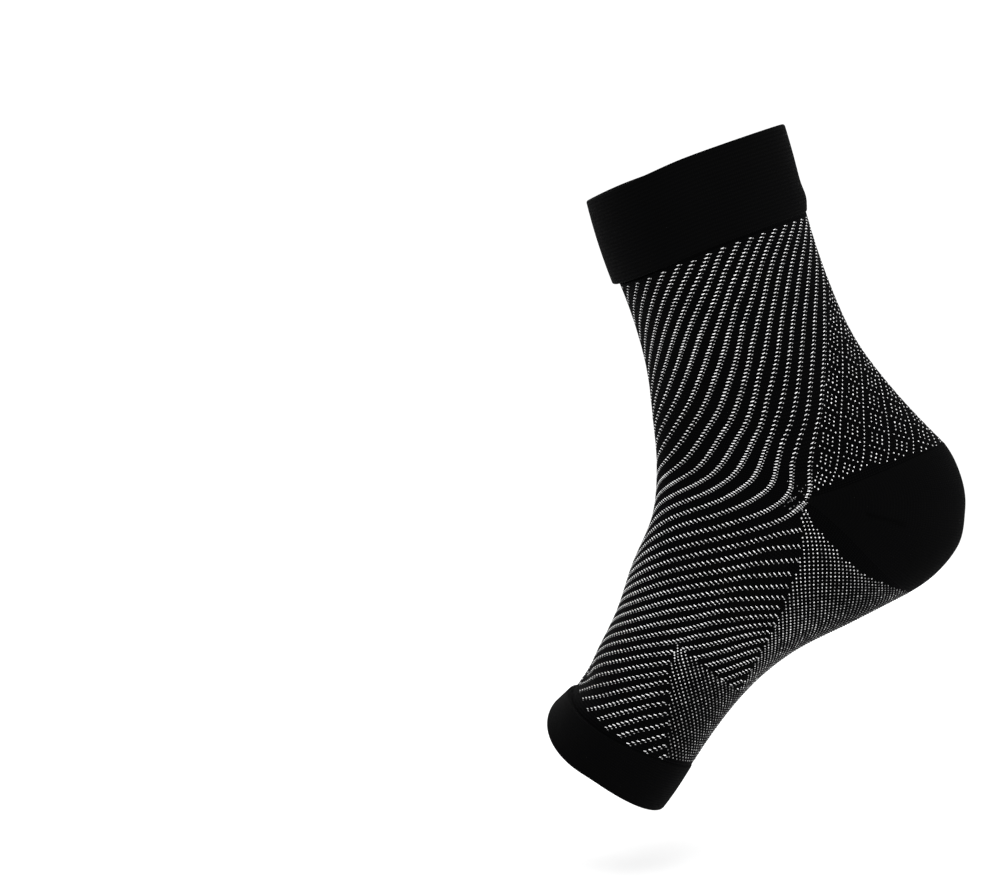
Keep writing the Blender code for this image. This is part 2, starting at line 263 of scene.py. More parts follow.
def unit(vectors):
    # vector / its length
    return vectors / np.maximum(np.linalg.norm(vectors, axis=-1, keepdims=True), 1e-12)


def onCloth(cloth, row, share):
    # Bilinear look-up of place, course, wale and normal at any arrays of row and share
    rows = cloth["rows"]
    share = (share + 0.5) % 1.0 * tube["roundSteps"]
    i = np.clip(np.searchsorted(rows, row, side="right") - 1, 0, len(rows) - 2)
    j = np.clip(np.floor(share).astype(int), 0, tube["roundSteps"] - 1)
    u = ((row - rows[i]) / (rows[i + 1] - rows[i]))[..., None]
    v = (share - j)[..., None]
    out = []
    for name in ("points", "course", "wale", "normal"):
        grid = cloth[name]
        value = ((1 - u) * ((1 - v) * grid[i, j] + v * grid[i, j + 1])
                 + u * ((1 - v) * grid[i + 1, j] + v * grid[i + 1, j + 1]))
        out.append(value if name == "points" else unit(value))
    return out


# the sleeve necks in over the toes just above the toe band
neck = {"deep": 0.0013, "row": 1.93, "tall": 0.045, "wide": 0.09}


def neckedIn(cloth):
    # point - normal * deep * exp(-((row - neck row) / tall)^2 - (share / wide)^2)
    shares = np.linspace(-0.5, 0.5, tube["roundSteps"] + 1)
    deep = neck["deep"] * np.exp(-((cloth["rows"][:, None] - neck["row"]) / neck["tall"]) ** 2
                                 - (shares[None, :] / neck["wide"]) ** 2)
    return {**cloth, "points": cloth["points"] - cloth["normal"] * deep[..., None]}


# first row, last row and number of rows of each cloth map
mapRows = {"leg": (-0.02, 1.0, 205), "foot": (1.0, 2.03, 207), "heel": (0.0, 1.0, 121),
           "cuff": (-0.37, 0.01, 77), "band": (1.99, 2.21, 45)}


def mapOf(part, form):
    # cloth map over rows at even steps
    rows = np.linspace(*mapRows[part])
    return clothMap(rows, form(rows))


legMap = mapOf("leg", lambda rows: sleeveForm(rows, False))
footMap = neckedIn(mapOf("foot", lambda rows: sleeveForm(rows, True)))
heelMap = mapOf("heel", heelForm)
cuffMap = mapOf("cuff", lambda rows: courseForm(cuffRows, rows))
bandMap = mapOf("band", lambda rows: courseForm(bandRows, rows))
print("cloth maps ready")


# Limits of the knitted zones, as shares round the tube

def legStripeEnd(row):
    # straight line down to the heel corner, held below the most
    return np.minimum(knit["heelCorner"] + knit["legStripeTurn"] * (1 - row), knit["legStripeMost"])


def archStripeEnd(row):
    # straight line from the heel corner on
    return knit["heelCorner"] + knit["archStripeTurn"] * (row - 1)


def archDotStart(row):
    # the seam's line plus how far the stitches reach past it, from the table
    return archStripeEnd(row) + np.interp(row, knit["archEdgeRows"], knit["archEdgeOut"])


def ballStripeEnd(row):
    # straight line from the kept share of the sleeve's width at the ball row
    kept = archStripeEnd(knit["ballRow"]) * knit["ballKeep"]
    return kept + knit["ballStripeTurn"] * (row - knit["ballRow"])


def coursesAt(row):
    # leg * row + foot * (row - 1) + tighter * (row - 1)^2
    # + bend * reach * (1 + tanh((row - bend row) / reach))
    foot = np.maximum(row - 1, 0)
    reach = knit["bendReach"]
    bend = knit["bendCourses"] * reach * (1 + np.tanh((row - knit["bendRow"]) / reach))
    return (knit["legCourses"] * np.minimum(row, 1) + knit["footCourses"] * foot
            + knit["footTighter"] * foot ** 2 + bend)


def rowOfCourse(course):
    # coursesAt turned round, read off a fine table
    fineRows = np.linspace(0, 2.05, 821)
    return np.interp(course, coursesAt(fineRows), fineRows)


def frontLineAt(row):
    # straight from the cuff to the heel row, then level
    return np.interp(row, [0, 1], [knit["frontLineLeg"], knit["frontLineFoot"]])


def tiltedRow(row, share):
    # leg courses climb towards the back: row - tilt (share - tilt share) 4 row (1 - row),
    # and sink at the front of the ankle: + droop * smooth step up and down * exp(-(share / reach)^2)
    inLeg = np.clip(row, 0, 1)
    rise = np.interp(row, knit["droopRows"], [0, 1, 0])
    sink = knit["frontDroop"] * rise ** 2 * (3 - 2 * rise) * np.exp(-(share / knit["droopReach"]) ** 2)
    return row - knit["courseTilt"] * (share - knit["tiltShare"]) * 4 * inLeg * (1 - inLeg) + sink


# Knit and yarn finishes

def addNode(tree, kind, **values):
    # a node with its settings or inputs given by name
    node = tree.nodes.new(kind)
    for name, value in values.items():
        if hasattr(node, name):
            setattr(node, name, value)
        else:
            node.inputs[name.replace("_", " ")].default_value = value
    return node


def mathNode(tree, operation, first, second=None):
    # operation(first, second), each a number or another node's output
    node = tree.nodes.new("ShaderNodeMath")
    node.operation = operation
    for i, value in enumerate((first, second)):
        if value is None:
            continue
        if isinstance(value, (int, float)):
            node.inputs[i].default_value = value
        else:
            tree.links.new(value, node.inputs[i])
    return node.outputs[0]


def knitCloth(name, colour, finish):
    # Plain knit drawn on the chart: u counts wales, v counts courses.
    # relief = |sin(pi u)| * (0.5 + 0.5 cos(2 pi (v + slant |2 frac(u) - 1|)))
    material = bpy.data.materials.new(name)
    material.use_nodes = True
    tree = material.node_tree
    shader = tree.nodes["Principled BSDF"]
    chart = addNode(tree, "ShaderNodeUVMap", uv_map="chart")
    split = tree.nodes.new("ShaderNodeSeparateXYZ")
    tree.links.new(chart.outputs[0], split.inputs[0])
    u, v = split.outputs[0], split.outputs[1]
    rib = mathNode(tree, "ABSOLUTE", mathNode(tree, "SINE", mathNode(tree, "MULTIPLY", u, math.pi)))
    fold = mathNode(tree, "ABSOLUTE", mathNode(tree, "SUBTRACT", mathNode(
        tree, "MULTIPLY", mathNode(tree, "FRACT", u), 2.0), 1.0))
    leg = mathNode(tree, "ADD", v, mathNode(tree, "MULTIPLY", fold, finish["slant"]))
    wave = mathNode(tree, "COSINE", mathNode(tree, "MULTIPLY", leg, 2 * math.pi))
    loop = mathNode(tree, "ADD", mathNode(tree, "MULTIPLY", wave, 0.5), 0.5)
    relief = mathNode(tree, "MULTIPLY", rib, loop)

    place = tree.nodes.new("ShaderNodeTexCoord")
    fuzz = addNode(tree, "ShaderNodeTexNoise", Scale=finish["fuzzScale"], Detail=3.0, Roughness=0.6)
    patch = addNode(tree, "ShaderNodeTexNoise", Scale=finish["patchScale"], Detail=2.0, Roughness=0.5)
    tree.links.new(place.outputs["Object"], fuzz.inputs["Vector"])
    tree.links.new(place.outputs["Object"], patch.inputs["Vector"])
    height = mathNode(tree, "ADD", relief, mathNode(tree, "MULTIPLY", fuzz.outputs[0], finish["fuzz"]))

    # painted shade: the colour falls to colour * deep where the relief is low, in the hollows between the
    # loops
    ramp = tree.nodes.new("ShaderNodeValToRGB")
    ramp.color_ramp.elements[0].position = 0.05
    ramp.color_ramp.elements[0].color = (*[c * finish["deep"] for c in colour], 1)
    ramp.color_ramp.elements[1].position = 0.95
    ramp.color_ramp.elements[1].color = (*colour, 1)
    tree.links.new(relief, ramp.inputs[0])
    wear = addNode(tree, "ShaderNodeMix", data_type="RGBA", blend_type="MULTIPLY")
    wear.inputs[0].default_value = finish["patch"]
    tree.links.new(ramp.outputs[0], wear.inputs[6])
    tree.links.new(patch.outputs[0], wear.inputs[7])
    tree.links.new(wear.outputs[2], shader.inputs["Base Color"])

    rough = tree.nodes.new("ShaderNodeMapRange")
    rough.inputs["To Min"].default_value = finish["deepRoughness"]
    rough.inputs["To Max"].default_value = finish["roughness"]
    tree.links.new(relief, rough.inputs[0])
    tree.links.new(rough.outputs[0], shader.inputs["Roughness"])

    bump = addNode(tree, "ShaderNodeBump", Strength=finish["relief"], Distance=finish["bumpDeep"])
    tree.links.new(height, bump.inputs["Height"])
    tree.links.new(bump.outputs[0], shader.inputs["Normal"])
    shader.inputs["Specular IOR Level"].default_value = finish["shine"]
    shader.inputs["Sheen Weight"].default_value = finish["sheen"]
    shader.inputs["Sheen Roughness"].default_value = finish["sheenRoughness"]
    shader.inputs["Sheen Tint"].default_value = (*finish["sheenColour"], 1)
    return material


def whiteYarn(name, finish):
    # Yarn colour follows each stitch's shade value, its own tone and, on the arch and ball dots, painted
    # shade towards the sole, with fine fibres along it
    material = bpy.data.materials.new(name)
    material.use_nodes = True
    tree = material.node_tree
    shader = tree.nodes["Principled BSDF"]
    shade = addNode(tree, "ShaderNodeAttribute", attribute_name="shade")
    ramp = tree.nodes.new("ShaderNodeValToRGB")
    ramp.color_ramp.elements[0].color = (*finish["dark"], 1)
    ramp.color_ramp.elements[1].color = (*finish["light"], 1)
    tree.links.new(shade.outputs["Fac"], ramp.inputs[0])
    tree.links.new(ramp.outputs[0], shader.inputs["Base Color"])
    place = tree.nodes.new("ShaderNodeTexCoord")
    fibre = addNode(tree, "ShaderNodeTexNoise", Scale=finish["fibreScale"], Detail=2.0)
    tree.links.new(place.outputs["Object"], fibre.inputs["Vector"])
    bump = addNode(tree, "ShaderNodeBump", Strength=finish["relief"], Distance=finish["bumpDeep"])
    tree.links.new(fibre.outputs[0], bump.inputs["Height"])
    tree.links.new(bump.outputs[0], shader.inputs["Normal"])
    shader.inputs["Roughness"].default_value = finish["roughness"]
    shader.inputs["Specular IOR Level"].default_value = finish["shine"]
    return material


# Meshes from whole arrays

def cellQuads(number):
    # corners (i, j), (i + 1, j), (i + 1, j + 1), (i, j + 1), so that wale x course points outwards
    return np.stack((number[:-1, :-1], number[1:, :-1], number[1:, 1:], number[:-1, 1:]),
                    axis=-1).reshape(-1, 4)


def gridQuads(rows, columns):
    # points numbered row * columns + column
    return cellQuads(np.arange(rows * columns).reshape(rows, columns))


def meshPiece(name, points, faces, chart, material, sharpAngle=50):
    # smooth mesh; uv of each face corner = chart of its point
    mesh = bpy.data.meshes.new(name)
    mesh.from_pydata(points.tolist(), [], faces.tolist())
    mesh.polygons.foreach_set("use_smooth", np.ones(len(faces), bool))
    if chart is not None:
        corner = np.empty(len(mesh.loops), np.int32)
        mesh.loops.foreach_get("vertex_index", corner)
        layer = mesh.uv_layers.new(name="chart")
        layer.data.foreach_set("uv", chart[corner].astype(np.float32).ravel())
    mesh.set_sharp_from_angle(angle=math.radians(sharpAngle))
    mesh.materials.append(material)
    piece = bpy.data.objects.new(name, mesh)
    bpy.context.scene.collection.objects.link(piece)
    return piece


def clothShell(name, points, normals, quads, chart, material):
    # outer face, inner face = outer - wall * normal, and a rim along every edge that one quad owns
    count = len(points)
    edges = np.stack((quads, np.roll(quads, -1, axis=1)), axis=-1).reshape(-1, 2)
    forward = edges[:, 0] * count + edges[:, 1]
    backward = edges[:, 1] * count + edges[:, 0]
    border = edges[~np.isin(forward, backward)]
    rim = np.stack((border[:, 1], border[:, 0], border[:, 0] + count, border[:, 1] + count), axis=-1)
    faces = np.concatenate((quads, quads[:, ::-1] + count, rim))
    allPoints = np.concatenate((points, points - normals * tube["wall"]))
    return meshPiece(name, allPoints, faces, np.concatenate((chart, chart)), material)


def gridShell(name, cloth, row, share, chart, material, sink=0.0):
    # a shell over one grid: point = cloth(row, share) - sink * normal
    point, _, _, normal = onCloth(cloth, row, share)
    points, normals, chart = (a.reshape(-1, a.shape[-1]) for a in (point - normal * sink, normal, chart))
    return clothShell(name, points, normals, gridQuads(*row.shape), chart, material)


def chartAt(share, course):
    # u = share * wales, v = course
    return np.stack((share * knit["wales"], course), axis=-1)


def finishPiece(piece, slot, *nodes):
    # one side's area = half the area of all faces
    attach(piece, "root")
    if nodes:
        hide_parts(*nodes)
    area = sum(face.area for face in piece.data.polygons) / 2
    print(piece.name, len(piece.data.vertices), "points,", round(area * 1e4, 1), "cm2 a side")
    return piece


# Striped sleeve, the black ground of the front and sides

sleeve = {"legSteps": 120, "footSteps": 96, "ballSteps": 44, "halfColumns": 88, "ballHalfColumns": 56,
          "tuck": 0.008, "toeTuck": 0.024, "flat": (0.120, 0.185)}
# deep is painted shade, the share of the colour left in the hollows between the knit loops
blackKnit = {
    "slant": 0.42, "deep": 0.45, "relief": 0.4, "bumpDeep": 0.0004,
    "fuzz": 0.25, "fuzzScale": 2600.0, "patch": 0.35, "patchScale": 38.0,
    "roughness": 0.75, "deepRoughness": 0.95, "shine": 0.012,
    "sheen": 0.004, "sheenRoughness": 0.5, "sheenColour": (0.5, 0.52, 0.56),
}
sleeveKnit = knitCloth("stripedKnit", (0.0018, 0.0018, 0.0020), blackKnit)
# less painted shade in the hollows of the plain knit, more in the mesh knit
plainKnit = knitCloth("plainKnit", (0.0018, 0.0018, 0.0019), {**blackKnit, "relief": 0.22, "deep": 0.7})
meshKnit = knitCloth("meshKnit", (0.0018, 0.0018, 0.0020), {**blackKnit, "deep": 0.3})


def stripedSleeve():
    # share runs from -end(row) to +end(row); below the ball row only the middle columns go on
    legs = np.linspace(-sleeve["tuck"], 1, sleeve["legSteps"] + 1)
    feet = np.linspace(1, knit["ballRow"], sleeve["footSteps"] + 1)[1:]
    balls = np.linspace(knit["ballRow"], 2 + sleeve["toeTuck"], sleeve["ballSteps"] + 1)[1:]
    half, ballHalf = sleeve["halfColumns"], sleeve["ballHalfColumns"]
    wide = np.arange(-half, half + 1) / half
    narrow = np.arange(-ballHalf, ballHalf + 1) / ballHalf
    parts = []
    for cloth, rows, ends, spread in ((legMap, legs, legStripeEnd(legs), wide),
                                      (footMap, feet, archStripeEnd(feet), wide),
                                      (footMap, balls, ballStripeEnd(balls), narrow)):
        row = np.repeat(rows[:, None], len(spread), axis=1)
        share = ends[:, None] * spread[None, :]
        point, _, _, normal = onCloth(cloth, row, share)
        chart = chartAt(share, coursesAt(row))
        parts.append([a.reshape(-1, a.shape[-1]) for a in (point, normal, chart)])
    points, normals, chart = (np.concatenate(group) for group in zip(*parts))
    upperRows = len(legs) + len(feet)
    upper = gridQuads(upperRows, len(wide))
    start = upperRows * len(wide)
    joint = (upperRows - 1) * len(wide) + half - ballHalf + np.arange(len(narrow))
    hung = np.concatenate((joint, start + np.arange(len(balls) * len(narrow))))
    lower = hung[gridQuads(len(balls) + 1, len(narrow))]
    return clothShell("striped_sleeve_cloth", points, normals, np.concatenate((upper, lower)),
                      chart, sleeveKnit)


sleeveCloth = finishPiece(stripedSleeve(), "striped_knit", "striped_sleeve")


# Open mesh panels of the leg's back, the arch and the ball

panels = {
    "achilles": {"first": -sleeve["tuck"], "last": 1.0, "steps": 120, "columns": 73, "flat": (0.057, 0.100)},
    "arch": {"first": 1.0, "last": knit["ballRow"], "steps": 96, "columns": 97, "flat": (0.074, 0.074)},
    "ball": {"first": knit["ballRow"], "last": 2 + sleeve["toeTuck"], "steps": 44, "columns": 121,
             "flat": (0.120, 0.032)},
}


def meshPanel(part, cloth, endOf, slot, node):
    # share = end + (1 - 2 end) s for s from 0 to 1, across the back line
    plan = panels[part]
    rows = np.linspace(plan["first"], plan["last"], plan["steps"] + 1)
    across = np.linspace(0, 1, plan["columns"])
    row = np.repeat(rows[:, None], plan["columns"], axis=1)
    ends = endOf(rows)[:, None]
    share = ends + (1 - 2 * ends) * across[None, :]
    piece = gridShell(part + "_mesh_cloth", cloth, row, share, chartAt(share, coursesAt(row)), meshKnit)
    finishPiece(piece, slot, node)


meshPanel("achilles", legMap, legStripeEnd, "achilles_mesh_knit", "achilles_panel")
meshPanel("arch", footMap, archStripeEnd, "arch_mesh_knit", "arch_panel")
meshPanel("ball", footMap, ballStripeEnd, "ball_mesh_knit", "ball_panel")


# Heel pocket, whose courses fan out from the heel corners

heel = {"steps": 90, "columns": 181, "courses": 64, "cornerGap": 0.0006, "flat": (0.085, 0.070),
        "creaseFan": 0.64, "creaseFrom": 0.322, "creaseTo": 0.365,
        "creaseDeep": 0.0009, "creaseWide": 0.0010}


def heelPocket():
    # share = corner + (1 - 2 corner) s, fan from 0 at the leg to 1 at the sole;
    # the gore crease sinks the cloth by depth * exp(-(distance / width)^2)
    corner = knit["heelCorner"] + heel["cornerGap"]
    fan = np.repeat(np.linspace(0, 1, heel["steps"] + 1)[:, None], heel["columns"], axis=1)
    share = np.repeat(np.linspace(corner, 1 - corner, heel["columns"])[None, :], len(fan), axis=0)
    inside = np.clip(np.minimum(share, 1 - share), heel["creaseFrom"], heel["creaseTo"])
    crease = np.where(share > 0.5, 1 - inside, inside)
    nearest = onCloth(heelMap, np.full_like(fan, heel["creaseFan"]), crease)[0]
    away = np.linalg.norm(onCloth(heelMap, fan, share)[0] - nearest, axis=2, keepdims=True)
    sink = heel["creaseDeep"] * np.exp(-(away / heel["creaseWide"]) ** 2)
    chart = chartAt(share, fan * heel["courses"] + knit["legCourses"])
    return gridShell("heel_pocket_cloth", heelMap, fan, share, chart, plainKnit, sink)


heelCloth = finishPiece(heelPocket(), "heel_knit", "heel_pocket")


# Leg cuff and toe band, doubled knit with rounded folds

weltEdge = {"wall": 0.0026, "round": 0.0010, "turnSteps": 6, "columns": 240}
welts = {
    "cuff": {"first": -0.36, "last": 0.0, "steps": 64, "courses": 24, "flat": (0.190, 0.034),
             "swell": 0.0011, "swellRow": -0.06, "swellTall": 0.05, "swellWide": 0.07},   # at the back
    "band": {"first": 2.0, "last": 2.2, "steps": 48, "courses": 20, "flat": (0.203, 0.014)},
}


def weltRing(name, cloth, plan):
    # A closed profile, down the outside, round the fold, up the inside and round the other fold,
    # carried round the tube: point = cloth(row) - (depth - swell) * normal, with quarter round corners
    first, last, columns = plan["first"], plan["last"], weltEdge["columns"]
    rows = np.linspace(first, last, plan["steps"])
    share = np.arange(columns) / columns - 0.5
    ends = [onCloth(cloth, np.full(columns, row), share)[0] for row in (first, last)]
    tall = np.linalg.norm(ends[1] - ends[0], axis=1)
    turn = np.linspace(0, np.pi / 2, weltEdge["turnSteps"] + 1)
    radius, wall = weltEdge["round"], weltEdge["wall"]
    # distance from the nearest end and depth below the outer face, for both ends
    inRow, deep = radius * (1 - np.sin(turn)), radius * (1 - np.cos(turn))
    side = (rows[1:-1] - first) / (last - first)
    spread = (last - first) / tall[None, :]
    start, stop = first + inRow[:, None] * spread, last - inRow[:, None] * spread
    keepRow = start[:1] + (stop[:1] - start[:1]) * side[:, None]
    keepDeep = np.zeros((len(side), 1))
    profileRow = np.concatenate((start[::-1], keepRow, stop, stop[::-1], keepRow[::-1], start))
    profileDeep = np.concatenate((deep[::-1, None], keepDeep, deep[:, None],
                                  wall - deep[::-1, None], wall - keepDeep, wall - deep[:, None]))
    shares = np.repeat(share[None, :], len(profileRow), axis=0)
    point, _, _, normal = onCloth(cloth, profileRow, shares)
    swell = 0.0
    if "swell" in plan:
        swell = plan["swell"] * np.exp(-((profileRow - plan["swellRow"]) / plan["swellTall"]) ** 2
                                       - ((0.5 - np.abs(shares)) / plan["swellWide"]) ** 2)
    point = point - normal * (profileDeep - swell)[..., None]
    chart = chartAt(shares, (profileRow - first) / (last - first) * plan["courses"])
    # the first row and column come again at the end, which closes the profile and the ring
    number = np.arange(profileRow.size).reshape(profileRow.shape)
    quads = cellQuads(np.pad(number, ((0, 1), (0, 1)), mode="wrap"))
    return meshPiece(name, point.reshape(-1, 3), quads, chart.reshape(-1, 2), plainKnit, sharpAngle=80)


cuffCloth = finishPiece(weltRing("leg_cuff_cloth", cuffMap, welts["cuff"]), "leg_cuff_knit", "leg_cuff")
bandCloth = finishPiece(weltRing("toe_band_cloth", bandMap, welts["band"]), "toe_band_knit", "toe_band")


# White stitches

stitch = {
    "dashLong": 0.00168, "dashWide": 0.00064, "dashHigh": 0.00028,
    "tailLong": 0.00074, "tailWide": 0.00058, "tailHigh": 0.00022,
    "tailOver": 0.00122, "tailDown": 0.00034,
    "sink": 0.25,             # share of the height that sits in the cloth
    "sides": 8, "shoulder": 0.72, "belly": 0.4,
    "sizeSpread": 0.10, "shadeSpread": 0.16, "tailSpread": 0.14,
    "leastShade": 0.25, "tailLeast": 0.08,
    "frontLean": 0.3,         # share of the lean that is left on the front line
    "frontReach": 0.12,       # and how far round the tube it grows back
}
yarn = {"dark": (0.08, 0.08, 0.08), "light": (0.90, 0.90, 0.90), "fibreScale": 5200.0,
        "relief": 0.35, "bumpDeep": 0.0001, "roughness": 0.8, "shine": 0.2}
whiteStitch = whiteYarn("whiteStitch", yarn)
whiteDot = whiteYarn("whiteDot", {**yarn, "dark": (0.05, 0.05, 0.05)})


def bead():
    # Low dome: ring at radius 1 and height 0, ring at radius and height of the shoulder,
    # top at height 1 and bottom at -belly
    sides, shoulder = stitch["sides"], stitch["shoulder"]
    turn = np.arange(sides) * 2 * np.pi / sides
    base = np.stack((np.cos(turn), np.sin(turn), 0 * turn), axis=1)
    upper = base * shoulder + [0, 0, shoulder]
    points = np.concatenate((base, upper, [[0, 0, 1.0], [0, 0, -stitch["belly"]]]))
    here = np.arange(sides)
    after = (here + 1) % sides
    ringFaces = np.concatenate((np.stack((here, after, after + sides), 1),
                                np.stack((here, after + sides, here + sides), 1)))
    top = np.stack((here + sides, after + sides, np.full(sides, 2 * sides)), 1)
    bottom = np.stack((after, here, np.full(sides, 2 * sides + 1)), 1)
    return points, np.concatenate((ringFaces, top, bottom))


def stitches(name, groups, material):
    # every bead = centre + long x course + wide y wale + high (z - sink) normal, for whole groups at a time
    points, triangles = bead()
    allPoints, allFaces, allShades, start = [], [], [], 0
    for centre, course, wale, normal, size, shade in groups:
        size = np.broadcast_to(size, (len(centre), 3))
        across = wale * np.sign((np.cross(course, wale) * normal).sum(axis=1))[:, None]
        body = (centre[:, None] + points[None, :, :1] * (course * size[:, :1] / 2)[:, None]
                + points[None, :, 1:2] * (across * size[:, 1:2] / 2)[:, None]
                + (points[None, :, 2:] - stitch["sink"]) * (normal * size[:, 2:])[:, None])
        faces = triangles[None] + (start + np.arange(len(centre)) * len(points))[:, None, None]
        allPoints.append(body.reshape(-1, 3))
        allFaces.append(faces.reshape(-1, 3))
        allShades.append(np.repeat(shade, len(points)))
        start += len(centre) * len(points)
    piece = meshPiece(name, np.concatenate(allPoints), np.concatenate(allFaces), None, material,
                      sharpAngle=180)
    shades = piece.data.attributes.new("shade", "FLOAT", "POINT")
    shades.data.foreach_set("value", np.concatenate(allShades).astype(np.float32))
    return piece


def turned(course, wale, degrees):
    # course cos a + wale sin a and wale cos a - course sin a, with an angle of its own for each stitch
    lean = np.radians(degrees)[:, None]
    return (unit(course * np.cos(lean) + wale * np.sin(lean)),
            unit(wale * np.cos(lean) - course * np.sin(lean)))


def dashGroups(cloth, row, share, look):
    # one long bead for the stitch and a small one past its rear end, a little further down;
    # stitches are shorter at the bend, long * (1 - short / cosh((row - bend row) / reach)^2)
    chance = np.random.default_rng(look["seed"])
    rear = np.where(share >= frontLineAt(row), 1, -1)[:, None]
    centre, course, wale, normal = onCloth(cloth, row, share)
    course = course * rear
    scatter = chance.normal(0, 1, (len(row), 4))
    long = look["long"] * (1 - look["bendShort"] / np.cosh((row - knit["bendRow"]) / knit["bendReach"]) ** 2)
    size = np.stack((stitch["dashLong"] * long * (1 + stitch["sizeSpread"] * scatter[:, 0]),
                     stitch["dashWide"] * look["wide"] * (1 + stitch["sizeSpread"] * scatter[:, 1]),
                     stitch["dashHigh"] * np.ones(len(row))), axis=1)
    shade = np.clip(look["shade"] + stitch["shadeSpread"] * scatter[:, 2], stitch["leastShade"], 1)
    fromFront = np.minimum(np.abs(share - frontLineAt(row)) / stitch["frontReach"], 1)
    lean = np.interp(row, look["rows"], look["lean"])
    lean = lean * (stitch["frontLean"] + (1 - stitch["frontLean"]) * fromFront)
    along, across = turned(course, wale, lean)
    dash = (centre, along, across, normal, size, shade)
    tailCentre = centre + course * (stitch["tailOver"] * long)[:, None] + wale * stitch["tailDown"]
    tailSize = (stitch["tailLong"] * look["long"], stitch["tailWide"] * look["wide"], stitch["tailHigh"])
    tailShade = np.clip(look["tail"] + stitch["tailSpread"] * scatter[:, 3], stitch["tailLeast"], 1)
    return [dash, (tailCentre, along, across, normal, tailSize, tailShade)]


def stripeNumbers(rows, shares):
    # the chart smoothed along the tube, then round it
    chart = np.array(stripeChart)
    along = smoothColumn(chart[:, 0], chart[:, 1:], rows)
    across = smoothColumn(stripeShares, along.T, np.maximum(shares, 0)).T
    # round the front the numbers run on at the pace they have at share 0
    pace = (across[:, shares > 0][:, :1] - along[:, :1]) / shares[shares > 0][0]
    return across + pace * np.minimum(shares, 0)


def stripeStitches(lastCourse):
    # on each course, the shares where the stripe number is whole, found along the tilted course
    firstRow, rowStep = -0.05, 0.005
    fineRows, fineShares = np.linspace(firstRow, 2.05, 421), np.linspace(-0.08, 0.52, 241)
    numbers = stripeNumbers(fineRows, fineShares)
    whole = np.arange(-4, 46)
    rows, shares = [], []
    for row in rowOfCourse(np.arange(lastCourse) + 0.5):
        path = tiltedRow(row, fineShares)
        low = np.clip(((path - firstRow) / rowStep).astype(int), 0, len(fineRows) - 2)
        part = (path - fineRows[low]) / rowStep
        here = np.arange(len(fineShares))
        number = numbers[low, here] * (1 - part) + numbers[low + 1, here] * part
        share = np.interp(whole, number, fineShares, left=-1, right=-1)
        share = share[share > frontLineAt(row)]
        rows.append(tiltedRow(row, share))
        shares.append(share)
    return np.concatenate(rows), np.concatenate(shares)


def ballTop(share):
    # row of the upper edge of the ball mesh = apex row + lean (share - apex share)
    return knit["ballApexRow"] + knit["ballEdgeLean"] * (np.abs(share) - knit["ballApexShare"])


def bothSides(row, share, mirror=0.0):
    # the same stitches on the inner and outer half, share and 2 mirror - share
    return np.concatenate((row, row)), np.concatenate((share, 2 * mirror - share))


# Clearances of the stripes, in rows below the cuff and in shares beside the front line and the panels
clear = {"cuff": 0.006, "front": 0.003, "foot": 0.003,
         "legRows": [0.93, 1.0], "leg": [0.004, -0.006]}   # the last stripe runs into the heel corner

heelCourse, lastCourse = (round(float(coursesAt(row))) for row in (1.0, 2.0))
stripeRow, stripeShare = stripeStitches(lastCourse)
legRow, legShare = stripeRow[stripeRow < 1], stripeShare[stripeRow < 1]
inside = (legRow > clear["cuff"]) & (legShare > frontLineAt(legRow) + clear["front"])
legRow, legShare = bothSides(legRow[inside], legShare[inside], frontLineAt(legRow[inside]))
inside = np.abs(legShare) < legStripeEnd(legRow) - np.interp(legRow, clear["legRows"], clear["leg"])
legRow, legShare = legRow[inside], legShare[inside]
legLook = {"long": 0.93, "wide": 0.60, "shade": 0.92, "tail": 0.36, "bendShort": 0.22, "seed": 11,
           "rows": [0.0, 0.2, 0.4, 0.6, 0.8, 0.9, 1.0], "lean": [2, -3, -9, -14, -15, -12, 0]}
legStitches = stitches("striped_sleeve_leg_stitches",
                       dashGroups(legMap, legRow, legShare, legLook), whiteStitch)
finishPiece(legStitches, "striped_knit")

footRow, footShare = stripeRow[stripeRow >= 1], stripeShare[stripeRow >= 1]
inside = footShare > frontLineAt(footRow) + clear["front"]
footRow, footShare = bothSides(footRow[inside], footShare[inside], frontLineAt(footRow[inside]))
fromFront = np.abs(footShare)
aboveBall = (fromFront < archDotStart(footRow) - clear["foot"]) & (footRow < ballTop(footShare))
besideBall = fromFront < ballStripeEnd(footRow) - clear["foot"]
inside = (aboveBall | besideBall) & (footRow < knit["lastStitchRow"] + knit["lastStitchLean"] * fromFront)
footRow, footShare = footRow[inside], footShare[inside]
footLook = {"long": 0.92, "wide": 0.59, "shade": 0.90, "tail": 0.34, "bendShort": 0.22, "seed": 12,
            "rows": [1.0, 1.12, 1.2, 1.5, 1.8, 2.0], "lean": [0, 13, 18, 7, -4, -8]}
footStitches = stitches("striped_sleeve_foot_stitches",
                        dashGroups(footMap, footRow, footShare, footLook), whiteStitch)
finishPiece(footStitches, "striped_knit")
print("stripes:", len(legRow), "and", len(footRow), "stitches")


# Loose yarn ends where the stripes turn into the heel corner, a few on the leg and more on the foot
cornerEnds = {"legCount": 12, "legRow": 0.965, "footCount": 30, "footRow": 1.024,
              "rowSpread": 0.014, "share": 0.244, "shareSpread": 0.009,
              "size": (0.00044, 0.00038, 0.00022), "shade": 0.24,
              "placeSeed": {"leg": 21, "foot": 22}, "lookSeed": {"leg": 31, "foot": 32}}


def cornerDots(part):
    # middle + spread * normal draw, held to two spreads
    chance = np.random.default_rng(cornerEnds["placeSeed"][part])
    spread = np.clip(chance.normal(0, 1, (cornerEnds[part + "Count"], 2)), -2, 2)
    return bothSides(cornerEnds[part + "Row"] + cornerEnds["rowSpread"] * spread[:, 0],
                     cornerEnds["share"] + cornerEnds["shareSpread"] * spread[:, 1])


dotSpread = {"size": 0.10, "shade": 0.18, "leastShade": 0.08}


